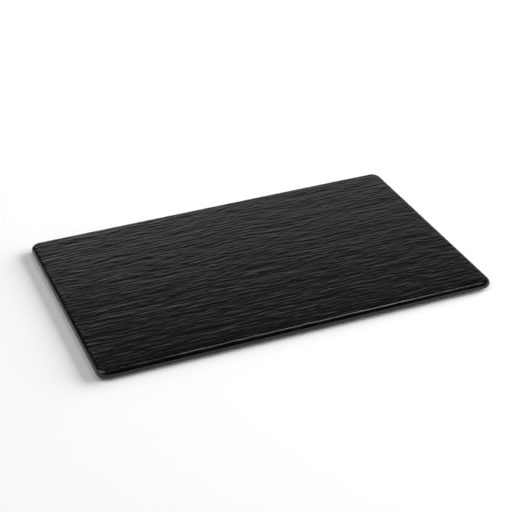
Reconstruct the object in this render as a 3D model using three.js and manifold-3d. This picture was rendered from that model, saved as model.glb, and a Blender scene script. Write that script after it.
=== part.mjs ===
// Slate-look serving board: one compression-moulded melamine plate on four glued silicone feet.
// Millimetres, +Z up, long side along X. The origin is on the table, under the middle of the board.
import * as THREE from "three";
import { mergeVertices } from "three/addons/utils/BufferGeometryUtils.js";
import Module from "manifold-3d";

// Moulded plate
const boardLength = 300;
const boardWidth = 200;
const cornerRadius = 8;
const slabHeight = 6.1;
const upperEdgeRadius = 4;
const lowerEdgeRadius = 2;

// Hollow underside
const plateThickness = 3.9;
const rimWidth = 9;
const recessCornerRadius = 6;
const recessDraft = 15;
const recessFillet = 0.9;

// Slate clefts of the serving face: flat lands with drawn-out hollows between them
const landDrop = 0.2;
const landLevel = 0.42;
const cleftDepth = 0.35;
const cleftSpacing = 6;
const cleftLength = 24;
const cleftWander = 3;
const fineShare = 0.35;

// Glued feet
const footInset = 26;
const footDiameter = 12;
const footTipDiameter = 10.8;
const footTipRadius = 0.7;
const standOff = 1.2;
const adhesiveThickness = 0.2;
const adhesiveMargin = 0.4;

// Locating ring around each foot
const ringClearance = 0.4;
const ringWall = 1.3;
const ringHeight = 0.8;
const ringDraft = 8;

// Facets
const cornerSteps = 6;
const edgeSteps = 6;
const filletSteps = 4;
const roundSteps = 32;
const cleftColumns = 32;
const cleftRows = 96;
const sliverSize = 0.01;

const recessDepth = slabHeight - plateThickness;
const recessTop = standOff + recessDepth;
const footHeight = recessTop - adhesiveThickness;
const ringRadius = footDiameter / 2 + ringClearance;

const wasm = await Module();
wasm.setup();

// Joins and cuts work on closed solids with shared vertices
function solid(geometry) {
  const bare = geometry.clone();
  bare.deleteAttribute("normal");
  bare.deleteAttribute("uv");
  const merged = mergeVertices(bare, 1e-4);
  const vertProperties = new Float32Array(merged.attributes.position.array);
  const triVerts = new Uint32Array(merged.index.array);
  return new wasm.Manifold(new wasm.Mesh({ numProp: 3, vertProperties, triVerts }));
}

function geometryOf(body) {
  const { vertProperties, triVerts } = body.getMesh();
  const geometry = new THREE.BufferGeometry();
  geometry.setAttribute("position", new THREE.BufferAttribute(vertProperties, 3));
  geometry.setIndex(new THREE.BufferAttribute(triVerts, 1));
  geometry.computeVertexNormals();
  return geometry;
}

// Rounded rectangle, with the same number of points for any inset
function plateOutline(length, width, radius) {
  const x = length / 2 - radius;
  const y = width / 2 - radius;
  const quarter = Math.PI / 2;
  const outline = new THREE.Path();
  outline.absarc(x, y, radius, 0, quarter);
  outline.absarc(-x, y, radius, quarter, 2 * quarter);
  outline.absarc(-x, -y, radius, 2 * quarter, 3 * quarter);
  outline.absarc(x, -y, radius, 3 * quarter, 4 * quarter);
  return outline.getPoints(cornerSteps);
}

// Skin through a stack of outlines that share their number of points, closed flat at both ends
function loft(sections) {
  const count = sections[0].outline.length;
  const positions = sections.flatMap(({ outline, z }) => outline.flatMap((p) => [p.x, p.y, z]));
  const index = [];
  for (let level = 0; level < sections.length - 1; level++) {
    for (let i = 0; i < count; i++) {
      const a = level * count + i;
      const b = level * count + ((i + 1) % count);
      index.push(a, b, b + count, a, b + count, a + count);
    }
  }
  const last = (sections.length - 1) * count;
  for (const [a, b, c] of THREE.ShapeUtils.triangulateShape(sections[0].outline, [])) {
    index.push(a, c, b);
  }
  for (const [a, b, c] of THREE.ShapeUtils.triangulateShape(sections.at(-1).outline, [])) {
    index.push(last + a, last + b, last + c);
  }
  const geometry = new THREE.BufferGeometry();
  geometry.setAttribute("position", new THREE.Float32BufferAttribute(positions, 3));
  geometry.setIndex(index);
  return geometry;
}

// Quarter round from angle `from` to `to`, as insets and heights about a centre
function quarterRound(radius, from, to, steps, centreInset, centreHeight) {
  const points = [];
  for (let i = 0; i <= steps; i++) {
    const angle = THREE.MathUtils.degToRad(from + ((to - from) * i) / steps);
    points.push({
      inset: centreInset - radius * Math.cos(angle),
      z: centreHeight + radius * Math.sin(angle),
    });
  }
  return points;
}

// Plate blank: the rounded edge section carried round the outline
function slabBlank() {
  const lower = quarterRound(
    lowerEdgeRadius, -90, 0, edgeSteps, lowerEdgeRadius, standOff + lowerEdgeRadius);
  const upper = quarterRound(
    upperEdgeRadius, 0, 90, edgeSteps, upperEdgeRadius, standOff + slabHeight - upperEdgeRadius);
  const sections = [...lower, ...upper].map(({ inset, z }) => ({
    outline: plateOutline(boardLength - 2 * inset, boardWidth - 2 * inset, cornerRadius - inset),
    z,
  }));
  return solid(loft(sections));
}

// Hollow under the plate: drafted walls that turn into the ceiling with a fillet
function recessCutter() {
  const lean = Math.tan(THREE.MathUtils.degToRad(recessDraft));
  const filletStart = recessTop - recessFillet * (1 - Math.sin(THREE.MathUtils.degToRad(recessDraft)));
  const mouth = { inset: rimWidth - lean, z: standOff - 1 };
  const wallTop = rimWidth + lean * (filletStart - standOff);
  const centreInset = wallTop + recessFillet * Math.cos(THREE.MathUtils.degToRad(recessDraft));
  const fillet = quarterRound(
    recessFillet, recessDraft, 90, filletSteps, centreInset, recessTop - recessFillet);
  const sections = [mouth, ...fillet].map(({ inset, z }) => ({
    outline: plateOutline(
      boardLength - 2 * inset, boardWidth - 2 * inset, recessCornerRadius + rimWidth - inset),
    z,
  }));
  return solid(loft(sections));
}

// Repeatable height from 0 to 1 at each corner of a lattice, eased between the corners
function latticeHeight(column, row) {
  const scramble = Math.sin(column * 127.1 + row * 311.7) * 43758.5453;
  return scramble - Math.floor(scramble);
}

function easedLattice(u, v) {
  const column = Math.floor(u);
  const row = Math.floor(v);
  const across = THREE.MathUtils.smoothstep(u - column, 0, 1);
  const along = THREE.MathUtils.smoothstep(v - row, 0, 1);
  const near = THREE.MathUtils.lerp(latticeHeight(column, row), latticeHeight(column + 1, row), across);
  const far = THREE.MathUtils.lerp(
    latticeHeight(column, row + 1), latticeHeight(column + 1, row + 1), across);
  return THREE.MathUtils.lerp(near, far, along);
}

// Depth of the cleft face below its lands: layers drawn out along X that wander in Y
function cleftAt(x, y) {
  const wander = cleftWander * (easedLattice(x / cleftLength, y / (3 * cleftSpacing)) - 0.5);
  const broad = easedLattice(x / cleftLength, (y + wander) / cleftSpacing);
  const fine = easedLattice((2 * x) / cleftLength, (2 * (y + wander)) / cleftSpacing);
  const layer = (1 - fineShare) * broad + fineShare * fine;
  return (cleftDepth * Math.max(0, layer - landLevel)) / (1 - landLevel);
}

// Block under the cleft face, larger than the plate on every side
function cleftBlock() {
  const height = 2 * slabHeight;
  const geometry = new THREE.BoxGeometry(
    boardLength + cleftLength, boardWidth + 2 * cleftSpacing, height, cleftColumns, cleftRows, 1);
  const position = geometry.attributes.position;
  const top = standOff + slabHeight - landDrop;
  geometry.translate(0, 0, top - height / 2);
  for (let i = 0; i < position.count; i++) {
    if (position.getZ(i) > standOff) {
      position.setZ(i, top - cleftAt(position.getX(i), position.getY(i)));
    }
  }
  return solid(geometry);
}

const footPlaces = [
  { place: "front_left", x: -1, y: -1 },
  { place: "front_right", x: 1, y: -1 },
  { place: "back_left", x: -1, y: 1 },
  { place: "back_right", x: 1, y: 1 },
].map(({ place, x, y }) => ({
  place,
  x: x * (boardLength / 2 - footInset),
  y: y * (boardWidth / 2 - footInset),
}));

// Ring moulded on the recess ceiling, thinner at its free edge so that it leaves the mould
function locatingRing() {
  const lean = ringHeight * Math.tan(THREE.MathUtils.degToRad(ringDraft));
  const root = plateThickness / 2;
  const outer = ringRadius + ringWall;
  const section = [
    new THREE.Vector2(ringRadius, -ringHeight),
    new THREE.Vector2(outer - lean, -ringHeight),
    new THREE.Vector2(outer, 0),
    new THREE.Vector2(outer, root),
    new THREE.Vector2(ringRadius, root),
    new THREE.Vector2(ringRadius, -ringHeight),
  ];
  return new THREE.LatheGeometry(section, roundSteps).rotateX(Math.PI / 2);
}

function boardBody() {
  let body = slabBlank().intersect(cleftBlock()).subtract(recessCutter());
  for (const { x, y } of footPlaces) {
    body = body.add(solid(locatingRing().translate(x, y, recessTop)));
  }
  return geometryOf(body.simplify(sliverSize));
}

function circleOutline(radius) {
  const circle = new THREE.EllipseCurve(0, 0, radius, radius);
  return circle.getPoints(roundSteps).slice(0, -1);
}

// Bumper foot: a plug that tapers to a rounded tip
function footGeometry() {
  const tip = quarterRound(footTipRadius, -90, 0, filletSteps, footTipRadius, footTipRadius);
  const sections = tip.map(({ inset, z }) => ({ outline: circleOutline(footTipDiameter / 2 - inset), z }));
  sections.push({ outline: circleOutline(footDiameter / 2), z: footHeight });
  return loft(sections);
}

function adhesiveGeometry() {
  const outline = circleOutline(footDiameter / 2 - adhesiveMargin);
  return loft([{ outline, z: 0 }, { outline, z: adhesiveThickness }]);
}

const melamine = { color: 0x1a1a19, roughness: 0.45, metalness: 0 };
const silicone = { color: 0x262626, roughness: 0.8, metalness: 0 };
const adhesive = { color: 0xcfccc0, roughness: 0.6, metalness: 0 };

function addPiece(name, geometry, finish, x, y, z) {
  const mesh = new THREE.Mesh(geometry, new THREE.MeshStandardMaterial(finish));
  mesh.name = name;
  mesh.position.set(x, y, z);
  servingBoard.add(mesh);
}

const servingBoard = new THREE.Group();
addPiece("board", boardBody(), melamine, 0, 0, 0);
for (const { place, x, y } of footPlaces) {
  addPiece(`adhesive_${place}`, adhesiveGeometry(), adhesive, x, y, footHeight);
  addPiece(`foot_${place}`, footGeometry(), silicone, x, y, 0);
}

export default servingBoard;
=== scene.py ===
import math
import bpy
import numpy as np
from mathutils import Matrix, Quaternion, Vector


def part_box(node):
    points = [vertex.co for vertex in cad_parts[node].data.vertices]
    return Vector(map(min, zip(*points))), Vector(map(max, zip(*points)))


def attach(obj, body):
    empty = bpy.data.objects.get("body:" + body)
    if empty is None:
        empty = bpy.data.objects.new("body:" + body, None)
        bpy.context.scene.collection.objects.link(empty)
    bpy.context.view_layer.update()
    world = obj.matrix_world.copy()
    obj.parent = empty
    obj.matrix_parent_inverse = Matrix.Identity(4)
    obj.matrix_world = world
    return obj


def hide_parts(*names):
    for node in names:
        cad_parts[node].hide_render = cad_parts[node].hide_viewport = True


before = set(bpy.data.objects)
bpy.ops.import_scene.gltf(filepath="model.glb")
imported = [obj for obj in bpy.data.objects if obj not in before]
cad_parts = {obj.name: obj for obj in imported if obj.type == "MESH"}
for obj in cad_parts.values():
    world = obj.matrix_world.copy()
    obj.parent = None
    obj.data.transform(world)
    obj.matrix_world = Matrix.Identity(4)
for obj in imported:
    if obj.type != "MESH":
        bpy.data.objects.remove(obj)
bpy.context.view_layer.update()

# Moulded plate: one compression moulding of black melamine, pressed in a mould whose upper half is
# textured like split slate. The edge is rounded all round, and the underside is hollow so that the
# plate cools evenly.
plate_low, plate_high = (Vector(corner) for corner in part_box("board"))
plate_length = plate_high.x - plate_low.x
plate_width = plate_high.y - plate_low.y
land_drop = 0.0002
plate_top = plate_high.z + land_drop
plate_bottom = plate_low.z
plate_corner = 0.008
corner_steps = 12
long_side_cuts = (12, 10)
short_side_cuts = (20, 18)
upper_round = 0.004
lower_round = 0.002
upper_steps = 8
lower_steps = 6
near = 1e-6
level = 0.9
dead_level = 0.999
crease = math.radians(35)


def select_edges(piece, chosen):
    """Selects only the edges of a piece in edit mode whose two ends pass the test."""
    bpy.ops.object.mode_set(mode="OBJECT")
    mesh = piece.data
    for element in (*mesh.vertices, *mesh.edges, *mesh.polygons):
        element.select = False
    for edge in mesh.edges:
        edge.select = chosen(*(mesh.vertices[i].co for i in edge.vertices))
    bpy.ops.object.mode_set(mode="EDIT")
    bpy.ops.mesh.select_mode(type="EDGE")


def select_faces(piece, chosen):
    """Selects only the faces of a piece in edit mode that pass the test."""
    bpy.ops.object.mode_set(mode="OBJECT")
    mesh = piece.data
    for element in (*mesh.vertices, *mesh.edges):
        element.select = False
    for face in mesh.polygons:
        face.select = chosen(face)
    bpy.ops.object.mode_set(mode="EDIT")
    bpy.ops.mesh.select_mode(type="FACE")


def is_broad(face):
    return face.area > plate_length * plate_width / 2


# The outline starts as a plane whose corners are rounded and whose sides are divided
bpy.ops.object.select_all(action="DESELECT")
bpy.ops.mesh.primitive_plane_add(size=1, location=(0, 0, plate_bottom))
plate = bpy.context.object
plate.name = "slate_plate"
plate.scale = (plate_length, plate_width, 1)
bpy.ops.object.transform_apply(location=True, rotation=True, scale=True)
bpy.ops.object.mode_set(mode="EDIT")
bpy.ops.mesh.bevel(affect="VERTICES", offset=plate_corner, segments=corner_steps)
bpy.ops.mesh.delete(type="ONLY_FACE")
select_edges(plate, lambda a, b: abs(a.x - b.x) > plate_length / 2)
for cuts in long_side_cuts:
    bpy.ops.mesh.subdivide(number_cuts=cuts)
select_edges(plate, lambda a, b: abs(a.y - b.y) > plate_width / 2)
for cuts in short_side_cuts:
    bpy.ops.mesh.subdivide(number_cuts=cuts)

# Walls rise from the outline, and both rims are rounded over
bpy.ops.mesh.select_all(action="SELECT")
bpy.ops.mesh.extrude_region_move(TRANSFORM_OT_translate={"value": (0, 0, plate_top - plate_bottom)})
bpy.ops.mesh.edge_face_add()
select_edges(plate, lambda a, b: max(a.z, b.z) < plate_bottom + near)
bpy.ops.mesh.edge_face_add()
bpy.ops.mesh.select_all(action="SELECT")
bpy.ops.mesh.normals_make_consistent(inside=False)
select_edges(plate, lambda a, b: min(a.z, b.z) > plate_top - near)
bpy.ops.mesh.bevel(affect="EDGES", offset=upper_round, segments=upper_steps)
select_edges(plate, lambda a, b: max(a.z, b.z) < plate_bottom + near)
bpy.ops.mesh.bevel(affect="EDGES", offset=lower_round, segments=lower_steps)

# The underside is drawn in to a rim, pushed up with draft and rounded into the hollow's ceiling
rim_width = 0.009
hollow_depth = 0.0022
hollow_draft = 0.0006
hollow_fillet = 0.0009
fillet_steps = 4
ceiling = plate_bottom + hollow_depth


def draw_in(inset_now, inset_next):
    """Scales the selection, which lies inset_now inside the outline, to lie inset_next inside."""
    sizes = (plate_length, plate_width)
    scale = [(size - 2 * inset_next) / (size - 2 * inset_now) for size in sizes]
    bpy.ops.transform.resize(value=(*scale, 1), center_override=(0, 0, 0))


select_faces(plate, lambda face: is_broad(face) and face.normal.z < 0)
bpy.ops.mesh.extrude_region()
draw_in(lower_round, rim_width)
bpy.ops.mesh.extrude_region_move(TRANSFORM_OT_translate={"value": (0, 0, hollow_depth)})
draw_in(rim_width, rim_width + hollow_draft)
select_edges(plate, lambda a, b: abs(a.z - ceiling) < near and abs(b.z - ceiling) < near)
bpy.ops.mesh.bevel(affect="EDGES", offset=hollow_fillet, segments=fillet_steps)

# Low collars on the ceiling of the hollow, moulded in one with the plate, show where the feet go
foot_spots = {}
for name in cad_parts:
    if name.startswith("foot_"):
        low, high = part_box(name)
        foot_spots[name] = ((low[0] + high[0]) / 2, (low[1] + high[1]) / 2, 0)
collar_bore = 0.0064
collar_wall = 0.0013
collar_height = 0.0008
collar_root = 0.0006
collar_edge = 0.00025
collar_edge_steps = 3
collar_low = ceiling - collar_height
round_sides = 64


def pick_only(*pieces):
    """Selects only these pieces, the last of them active, in object mode."""
    bpy.ops.object.select_all(action="DESELECT")
    for piece in pieces:
        piece.select_set(True)
        bpy.context.view_layer.objects.active = piece


def copy_to_spots(piece, spots):
    """Copies of a piece that is modelled at the middle of the board, which itself is taken away."""
    copies = []
    for spot in spots:
        pick_only(piece)
        bpy.ops.object.duplicate()
        bpy.ops.transform.translate(value=spot)
        bpy.ops.object.transform_apply(location=True, rotation=True, scale=True)
        copies.append(bpy.context.object)
    pick_only(piece)
    bpy.ops.object.delete()
    return copies


def is_free_edge(a, b):
    """Whether an edge runs round the free end of the collar."""
    goes_round = abs(a.xy.length - b.xy.length) < near
    return goes_round and max(a.z, b.z) < collar_low + near


bpy.ops.object.mode_set(mode="OBJECT")
bpy.ops.object.select_all(action="DESELECT")
bpy.ops.mesh.primitive_cylinder_add(
    vertices=round_sides, radius=collar_bore + collar_wall, depth=collar_height + collar_root,
    location=(0, 0, ceiling + (collar_root - collar_height) / 2))
collar = bpy.context.object
bpy.ops.object.transform_apply(location=True, rotation=True, scale=True)
select_faces(collar, lambda face: abs(face.normal.z) > level)
bpy.ops.mesh.inset(thickness=collar_wall, use_individual=True)
bpy.ops.mesh.bridge_edge_loops()
select_edges(collar, is_free_edge)
bpy.ops.mesh.bevel(affect="EDGES", offset=collar_edge, segments=collar_edge_steps)
bpy.ops.object.mode_set(mode="OBJECT")
pick_only(*copy_to_spots(collar, foot_spots.values()))
bpy.ops.object.join()
collars = bpy.context.object
union = plate.modifiers.new("collars", "BOOLEAN")
union.operation = "UNION"
union.object = collars
pick_only(plate)
bpy.ops.object.modifier_apply(modifier=union.name)
pick_only(collars)
bpy.ops.object.delete()
pick_only(plate)

# The face is filled with a fine grid that takes the slate relief
long_side_edges = math.prod(cuts + 1 for cuts in long_side_cuts) + corner_steps
select_faces(plate, lambda face: is_broad(face) and face.normal.z > 0)
bpy.ops.mesh.delete(type="ONLY_FACE")
select_edges(plate, lambda a, b: min(a.z, b.z) > plate_top - near)
bpy.ops.mesh.fill_grid(span=long_side_edges)
bpy.ops.object.mode_set(mode="OBJECT")

# Slate relief: flat lands with drawn-out hollows, all of it split into fine overlapping ledges
land_level = 0.42
cleft_depth = 0.00012
cleft_spacing = 0.006
cleft_length = 0.024
cleft_wander = 0.003
wander_spacing = 3 * cleft_spacing
fine_share = 0.35
fine_pace = 2
ledge_depth = 0.000126
ledge_pitch = 0.0047
ledge_length = 0.006
ledge_drift = 1.0
ledge_riser = 0.16
drift_stretch = 5
ripple_part = 2.5
shiver_part = 2.5
shiver_pace = 6
splinter_scale = 0.45
splinter_share = 0.7
splinter_shift = 0.006
edge_fade = 0.0012
rim_reach = 0.008
rim_gain = 0.7

# Scrambling factors of the lattice, and the lattice columns where the finer waves start
scramble_column = 127.1
scramble_row = 311.7
scramble_gain = 43758.5453
ripple_start = 20
shiver_start = 70
fade_start = 50


def lattice_height(column, row):
    """Repeatable height from 0 to 1 at each corner of a lattice."""
    scramble = np.sin(column * scramble_column + row * scramble_row) * scramble_gain
    return scramble - np.floor(scramble)


def ease(share):
    """A share from 0 to 1 that starts and ends slowly."""
    return share * share * (3 - 2 * share)


def between(first, second, share):
    return first * (1 - share) + second * share


def eased_lattice(u, v):
    """Height between the corners of the lattice, eased both ways."""
    column, row = np.floor(u), np.floor(v)
    across, along = ease(u - column), ease(v - row)
    near_side = between(lattice_height(column, row), lattice_height(column + 1, row), across)
    row_behind = row + 1
    far_side = between(
        lattice_height(column, row_behind), lattice_height(column + 1, row_behind), across)
    return between(near_side, far_side, along)


def ledges(x, y):
    """Height of split layers that rise steeply at the front, fall away gently and come and go."""
    along = x / ledge_length
    layers = y / ledge_pitch
    drift = eased_lattice(x / (drift_stretch * ledge_length), layers)
    drift += eased_lattice(along + ripple_start, layers) / ripple_part
    drift += eased_lattice(shiver_pace * along + shiver_start, layers) / shiver_part
    phase = layers + ledge_drift * drift
    layer = np.floor(phase)
    rise = (phase - layer) / ledge_riser
    fall = (1 - phase + layer) / (1 - ledge_riser)
    return np.minimum(rise, fall) * eased_lattice(along + fade_start, layer)


def cleft_at(x, y):
    """Depth of the split face below its lands."""
    wander = cleft_wander * (eased_lattice(x / cleft_length, y / wander_spacing) - 1 / 2)
    broad = eased_lattice(x / cleft_length, (y + wander) / cleft_spacing)
    fine = eased_lattice(fine_pace * x / cleft_length, fine_pace * (y + wander) / cleft_spacing)
    layer = (1 - fine_share) * broad + fine_share * fine
    depth = cleft_depth * np.maximum(0, layer - land_level) / (1 - land_level)
    splinters = ledges(x / splinter_scale, (y + wander) / splinter_scale + splinter_shift)
    return depth + ledge_depth * (1 - ledges(x, y + wander) + splinter_share * (1 - splinters))


places = np.empty(3 * len(plate.data.vertices))
plate.data.vertices.foreach_get("co", places)
places = places.reshape(-1, 3)
cleft_depths = cleft_at(places[:, 0], places[:, 1])
from_rim = np.minimum(plate_length / 2 - abs(places[:, 0]), plate_width / 2 - abs(places[:, 1]))
cleft_depths *= 1 + rim_gain * np.clip(1 - from_rim / rim_reach, 0, 1)
split_face = plate_high.z - cleft_depths
edge_share = np.clip((places[:, 2] - plate_high.z + edge_fade) / edge_fade, 0, 1)
lowered = np.minimum(places[:, 2] - edge_share * cleft_depths, split_face)
lowered = np.where(places[:, 2] > ceiling + near, lowered, places[:, 2])
cleft_share = np.clip((places[:, 2] - split_face) / land_drop, 0, 1)
places[:, 2] = lowered
plate.data.vertices.foreach_set("co", places.ravel())
plate.data.attributes.new("cleft", "FLOAT", "POINT").data.foreach_set("value", cleft_share)
bpy.ops.object.shade_smooth_by_angle(angle=crease)


class Shade:
    """A socket of a material's nodes, whose arithmetic adds Math nodes."""

    def __init__(self, tree, socket):
        self.tree = tree
        self.socket = socket

    def node(self, kind, settings, sockets, output=0):
        """Adds a node: its settings first, then the values or links of its sockets."""
        made = self.tree.nodes.new(kind)
        for name, value in settings.items():
            setattr(made, name, value)
        for name, value in sockets.items():
            socket = next(s for s in made.inputs if name in (s.identifier, s.name))
            if isinstance(value, Shade):
                self.tree.links.new(value.socket, socket)
            else:
                socket.default_value = value
        outputs = [s for s in made.outputs if output in (s.identifier, s.name)]
        outputs = outputs or list(made.outputs)
        return Shade(self.tree, outputs[0]) if outputs else None

    def math(self, operation, first, second):
        sockets = {"Value": first, "Value_001": second}
        return self.node("ShaderNodeMath", {"operation": operation}, sockets)

    def __add__(self, other):
        return self.math("ADD", self, other)

    __radd__ = __add__

    def __sub__(self, other):
        return self.math("SUBTRACT", self, other)

    def __rsub__(self, other):
        return self.math("SUBTRACT", other, self)

    def __mul__(self, other):
        return self.math("MULTIPLY", self, other)

    __rmul__ = __mul__

    def noise(self, stretch, detail):
        """Noise whose cells are as many to the metre along each axis as stretch says."""
        spread = self.node("ShaderNodeMapping", {}, {"Vector": self, "Scale": stretch})
        sockets = {"Vector": spread, "Scale": 1, "Detail": detail}
        return self.node("ShaderNodeTexNoise", {}, sockets, "Fac")

    def ramp(self, low, high):
        """This value rescaled so that low gives 0 and high gives 1."""
        sockets = {"Value": self, "From Min": low, "From Max": high}
        return self.node("ShaderNodeMapRange", {}, sockets)

    def blend(self, first, second):
        """Colour that goes from the first to the second as this value goes from 0 to 1."""
        sockets = {"Factor_Float": self, "A_Color": first, "B_Color": second}
        return self.node("ShaderNodeMix", {"data_type": "RGBA"}, sockets, "Result_Color")


def start_finish(name):
    """A new material, and the place on the piece that its pattern starts from."""
    finish = bpy.data.materials.new(name)
    finish.use_nodes = True
    finish.node_tree.nodes.clear()
    place = finish.node_tree.nodes.new("ShaderNodeTexCoord").outputs["Object"]
    return finish, Shade(finish.node_tree, place)


def end_finish(colour, roughness, index, relief, relief_depth, relief_strength):
    """Ends a finish with a plastic surface whose normals follow a fine relief."""
    sockets = {"Height": relief, "Distance": relief_depth, "Strength": relief_strength}
    bump = relief.node("ShaderNodeBump", {}, sockets)
    sockets = {"Base Color": colour, "Roughness": roughness, "IOR": index, "Normal": bump}
    surface = relief.node("ShaderNodeBsdfPrincipled", {}, sockets)
    surface.node("ShaderNodeOutputMaterial", {}, {"Surface": surface})


# Melamine is black through and through, satin where the mould is textured, and polished on the edge
# with duller stretches
melamine, place = start_finish("melamine")
melamine_index = 1.5
black_warm = (0.0019, 0.0018, 0.0015, 1)
black_cool = (0.0021, 0.0022, 0.0022, 1)
polish = 0.13
dullest_wear = 0.17
satin = 0.135
streak_satin = 0.1
pore_share = 0.15
grain_depth = 0.00012
grain_strength = 0.4
cleft = place.node("ShaderNodeAttribute", {"attribute_name": "cleft"}, {}, "Fac")
clouds = place.noise(stretch=(18, 55, 20), detail=2)
streaks = place.noise(stretch=(90, 620, 200), detail=3)
pores = place.noise(stretch=(2600, 3400, 3000), detail=2)
wear = place.noise(stretch=(70, 70, 70), detail=3)
colour = clouds.ramp(low=0.35, high=0.65).blend(black_warm, black_cool)
face_roughness = satin + streak_satin * (streaks - 1 / 2)
edge_roughness = polish + dullest_wear * wear.ramp(low=0.42, high=0.66)
roughness = edge_roughness + cleft * (face_roughness - edge_roughness)
grain = cleft * (streaks + pore_share * pores)
end_finish(colour, roughness, melamine_index, grain, grain_depth, grain_strength)
plate.data.materials.append(melamine)

# Underneath, the mould is blasted to an even matte, with faint clouds where the powder flowed
blasted_melamine, place = start_finish("blasted_melamine")
blasted_dark = (0.0035, 0.0035, 0.0034, 1)
blasted_pale = (0.0075, 0.0074, 0.0070, 1)
blasted = 0.52
flow_blast = 0.25
pit_depth = 0.00012
pit_strength = 0.6
flow = place.noise(stretch=(25, 25, 25), detail=4)
pits = place.noise(stretch=(1800, 1800, 1800), detail=2)
colour = flow.ramp(low=0.3, high=0.7).blend(blasted_dark, blasted_pale)
roughness = blasted + flow_blast * (flow - 1 / 2)
end_finish(colour, roughness, melamine_index, pits, pit_depth, pit_strength)
plate.data.materials.append(blasted_melamine)


def is_underside(face):
    """Whether a face lies on the flat of the rim or in the hollow."""
    from_end = plate_length / 2 - abs(face.center.x)
    from_side = plate_width / 2 - abs(face.center.y)
    in_hollow = min(from_end, from_side) > rim_width
    return face.center.z < ceiling + near and (in_hollow or face.normal.z < -dead_level)


select_faces(plate, is_underside)
plate.active_material_index = plate.data.materials.find(blasted_melamine.name)
bpy.ops.object.material_slot_assign()
bpy.ops.object.mode_set(mode="OBJECT")
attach(plate, "root")
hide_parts("board")

# Adhesive discs: die-cut from a milky acrylic film, pressed between each foot and the ceiling of
# the hollow inside its collar.
adhesive, place = start_finish("adhesive")
milky_pale = (0.66, 0.64, 0.58, 1)
milky_warm = (0.55, 0.52, 0.44, 1)
acrylic_index = 1.47
film_gloss = 0.35
haze_gloss = 0.3
bubble_depth = 0.0001
bubble_strength = 0.4
haze = place.noise(stretch=(700, 700, 700), detail=3)
bubbles = place.noise(stretch=(3000, 3000, 3000), detail=1)
colour = haze.ramp(low=0.3, high=0.7).blend(milky_pale, milky_warm)
roughness = film_gloss + haze_gloss * haze
end_finish(colour, roughness, acrylic_index, bubbles, bubble_depth, bubble_strength)
for name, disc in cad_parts.items():
    if name.startswith("adhesive_"):
        disc.material_slots[0].material = adhesive

# Feet: four stock bumpers of dark silicone, each a tapered plug with a rounded tip and a dished
# sole, stuck on inside the collars so that the plate stands clear of the table.
foot_low, foot_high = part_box("foot_front_left")
foot_radius = (foot_high[0] - foot_low[0]) / 2
foot_height = foot_high[2] - foot_low[2]
foot_tip_share = 0.9
foot_tip_round = 0.0007
foot_tip_steps = 6
foot_top_round = 0.00015
foot_top_steps = 2
sole_lip = 0.0011
sole_dish = 0.00015
sole_edge = 0.0006
bpy.ops.object.select_all(action="DESELECT")
bpy.ops.mesh.primitive_cylinder_add(
    vertices=round_sides, radius=foot_radius, depth=foot_height, location=(0, 0, foot_height / 2))
foot = bpy.context.object
bpy.ops.object.transform_apply(location=True, rotation=True, scale=True)
select_faces(foot, lambda face: face.normal.z < -level)
bpy.ops.transform.resize(value=(foot_tip_share, foot_tip_share, 1), center_override=(0, 0, 0))
select_edges(foot, lambda a, b: max(a.z, b.z) < near)
bpy.ops.mesh.bevel(affect="EDGES", offset=foot_tip_round, segments=foot_tip_steps)
select_edges(foot, lambda a, b: min(a.z, b.z) > foot_height - near)
bpy.ops.mesh.bevel(affect="EDGES", offset=foot_top_round, segments=foot_top_steps)
select_faces(foot, lambda face: face.normal.z < -dead_level)
bpy.ops.mesh.inset(thickness=sole_lip)
bpy.ops.mesh.inset(thickness=sole_edge, depth=-sole_dish)
bpy.ops.object.mode_set(mode="OBJECT")
bpy.ops.object.shade_smooth_by_angle(angle=crease)

# Silicone is matte, with a fine skin and a bloom of paler dust
silicone, place = start_finish("silicone")
silicone_dark = (0.022, 0.022, 0.023, 1)
silicone_bloom = (0.055, 0.054, 0.052, 1)
silicone_index = 1.41
silicone_matte = 0.62
bloom_matte = 0.25
skin_depth = 0.0001
skin_strength = 0.5
bloom = place.noise(stretch=(260, 260, 500), detail=4)
skin = place.noise(stretch=(2400, 2400, 2400), detail=2)
colour = bloom.ramp(low=0.4, high=0.75).blend(silicone_dark, silicone_bloom)
roughness = silicone_matte + bloom_matte * bloom
end_finish(colour, roughness, silicone_index, skin, skin_depth, skin_strength)
foot.data.materials.append(silicone)
for name, bumper in zip(foot_spots, copy_to_spots(foot, foot_spots.values())):
    bumper.name = name.replace("foot", "bumper")
    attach(bumper, "root")
    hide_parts(name)

# Floor: a plain sheet of white paper, laid flat under the board and wide enough to fill the picture
# behind it
floor_size = 8
floor_white = (0.99, 0.99, 0.99, 1)
bpy.ops.object.select_all(action="DESELECT")
bpy.ops.mesh.primitive_plane_add(size=floor_size, location=(0, 0, 0))
floor = bpy.context.object
floor.name = "floor"
paper, place = start_finish("paper")
surface = place.node("ShaderNodeBsdfDiffuse", {}, {"Color": floor_white})
surface.node("ShaderNodeOutputMaterial", {}, {"Surface": surface})
floor.data.materials.append(paper)


def add_softbox(name, position, width, height, power):
    """A rectangular lamp that faces the middle of the board."""
    bpy.ops.object.light_add(type="AREA", location=position)
    lamp = bpy.context.object
    lamp.name = name
    lamp.rotation_mode = "QUATERNION"
    lamp.rotation_quaternion = (-Vector(position)).to_track_quat("-Z", "Y")
    lamp.data.shape = "RECTANGLE"
    lamp.data.size = width
    lamp.data.size_y = height
    lamp.data.energy = power
    return lamp


# Lamps: a broad softbox at the right that reflections do not show, a narrow one overhead that draws
# the line of light along the near edge, and a soft fill from high on the left
side_softbox = add_softbox(
    "side_softbox", position=(3.0, 0.1, 1.0), width=4.2, height=1.8, power=238)
side_softbox.visible_glossy = False
add_softbox("top_softbox", position=(1.0, 0.4, 2.6), width=2.2, height=0.3, power=11)
add_softbox("fill_softbox", position=(-1.6, 0.5, 2.2), width=2.4, height=2.4, power=27)

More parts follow.
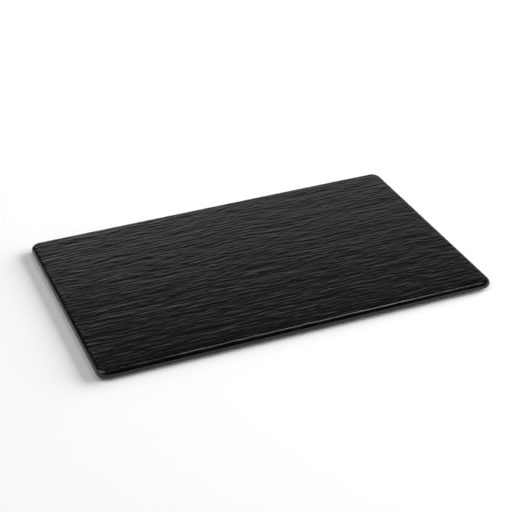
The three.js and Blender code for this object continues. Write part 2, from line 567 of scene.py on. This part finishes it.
# Studio: dim, with pale walls that the plate mirrors. They are palest near the floor, the back wall
# stays faintly pale above, and the ceiling is pale only straight overhead.
dark_glow = 0.02
back_glow = 0.72
left_glow = 0.5
right_glow = 0.4
corner_glow = 0.35
overhead_glow = 0.4
upper_wall = 0.06
world = bpy.data.worlds.new("studio")
bpy.context.scene.world = world
world.use_nodes = True
world.node_tree.nodes.clear()
outwards = world.node_tree.nodes.new("ShaderNodeTexCoord").outputs["Generated"]
direction = Shade(world.node_tree, outwards)
towards_right = direction.node("ShaderNodeSeparateXYZ", {}, {"Vector": direction}, "X")
towards_back = direction.node("ShaderNodeSeparateXYZ", {}, {"Vector": direction}, "Y")
upwards = direction.node("ShaderNodeSeparateXYZ", {}, {"Vector": direction}, "Z")
near_floor = upwards.ramp(low=0.51, high=0.43)
behind = towards_back.ramp(low=-0.1, high=0.5)
back_ends = towards_right.ramp(low=-0.3, high=0.05) * towards_right.ramp(low=0.8, high=0.2)
back_wall = behind * back_ends * (upper_wall + (1 - upper_wall) * near_floor)
left_wall = towards_back.ramp(low=0.6, high=0.3) * towards_right.ramp(low=0.1, high=-0.1)
right_wall = towards_right.ramp(low=0.55, high=0.75)
low_corner = towards_right.ramp(low=-0.35, high=-0.5) * upwards.ramp(low=0.35, high=0.2)
overhead = upwards.ramp(low=0.965, high=0.99)
glow = dark_glow + back_glow * back_wall
glow = glow + near_floor * (left_glow * left_wall + right_glow * right_wall)
glow = glow + corner_glow * (behind * low_corner) + overhead_glow * overhead
background = direction.node("ShaderNodeBackground", {}, {"Color": glow})
background.node("ShaderNodeOutputWorld", {}, {"Surface": background})

# Camera: a long lens from the front left, looking down at about 30 degrees
view_right = 0.00663
view_behind = 0.01241
view_drop = 0.00351
view_target = Vector((view_right, view_behind, plate_high.z - view_drop))
view_distance = 1.0957
view_lens = 100.45
sensor_width = 36
view_azimuth = math.radians(-20.137)
view_elevation = math.radians(29.479)
view_roll = math.radians(-2.178)
view_back = Vector((
    math.sin(view_azimuth) * math.cos(view_elevation),
    -math.cos(view_azimuth) * math.cos(view_elevation),
    math.sin(view_elevation)))
bpy.ops.object.camera_add(location=view_target + view_distance * view_back)
camera = bpy.context.object
camera.rotation_mode = "QUATERNION"
camera.rotation_quaternion = view_back.to_track_quat("Z", "Y") @ Quaternion((0, 0, 1), view_roll)
camera.data.lens = view_lens
camera.data.sensor_width = sensor_width
scene = bpy.context.scene
scene.camera = camera
scene.view_settings.view_transform = "Standard"
